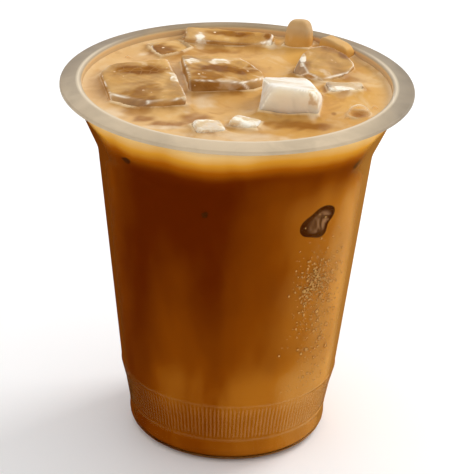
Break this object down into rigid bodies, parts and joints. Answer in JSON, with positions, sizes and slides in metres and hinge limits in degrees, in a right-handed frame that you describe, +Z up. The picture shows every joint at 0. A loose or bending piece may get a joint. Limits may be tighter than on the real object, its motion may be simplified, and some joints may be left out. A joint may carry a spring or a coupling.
{
  "type": "iced coffee",
  "caption": "Iced milk coffee filled to the brim of a thin clear plastic cup with a wide flange, with ice lumps breaking the surface.",
  "frame": {"origin": "centre of the foot, on the surface that the cup stands on", "axes": "+Z up along the cup's axis; -Y towards the viewer, so the tall ice lumps are at the back, +Y, and to the right, +X"},
  "size_m": [0.095, 0.095, 0.1081],
  "materials": {
    "cup": "thin clear slightly hazy plastic",
    "coffee": "still milky liquid, wet gloss",
    "ice": "wet clear ice with a coffee film",
    "coated_ice": "ice coated with milk coffee"
  },
  "bodies": {
    "root": {"cup": "cup", "coffee": "coffee", "ice_left": "ice", "ice_middle": "ice", "ice_back": "ice", "ice_front": "ice", "ice_right": "ice", "ice_tall": "coated_ice", "ice_rim": "coated_ice", "ice_shallow": "ice", "ice_sliver": "ice", "ice_chip_left": "ice", "ice_chip_right": "ice"}
  },
  "joints": []
}
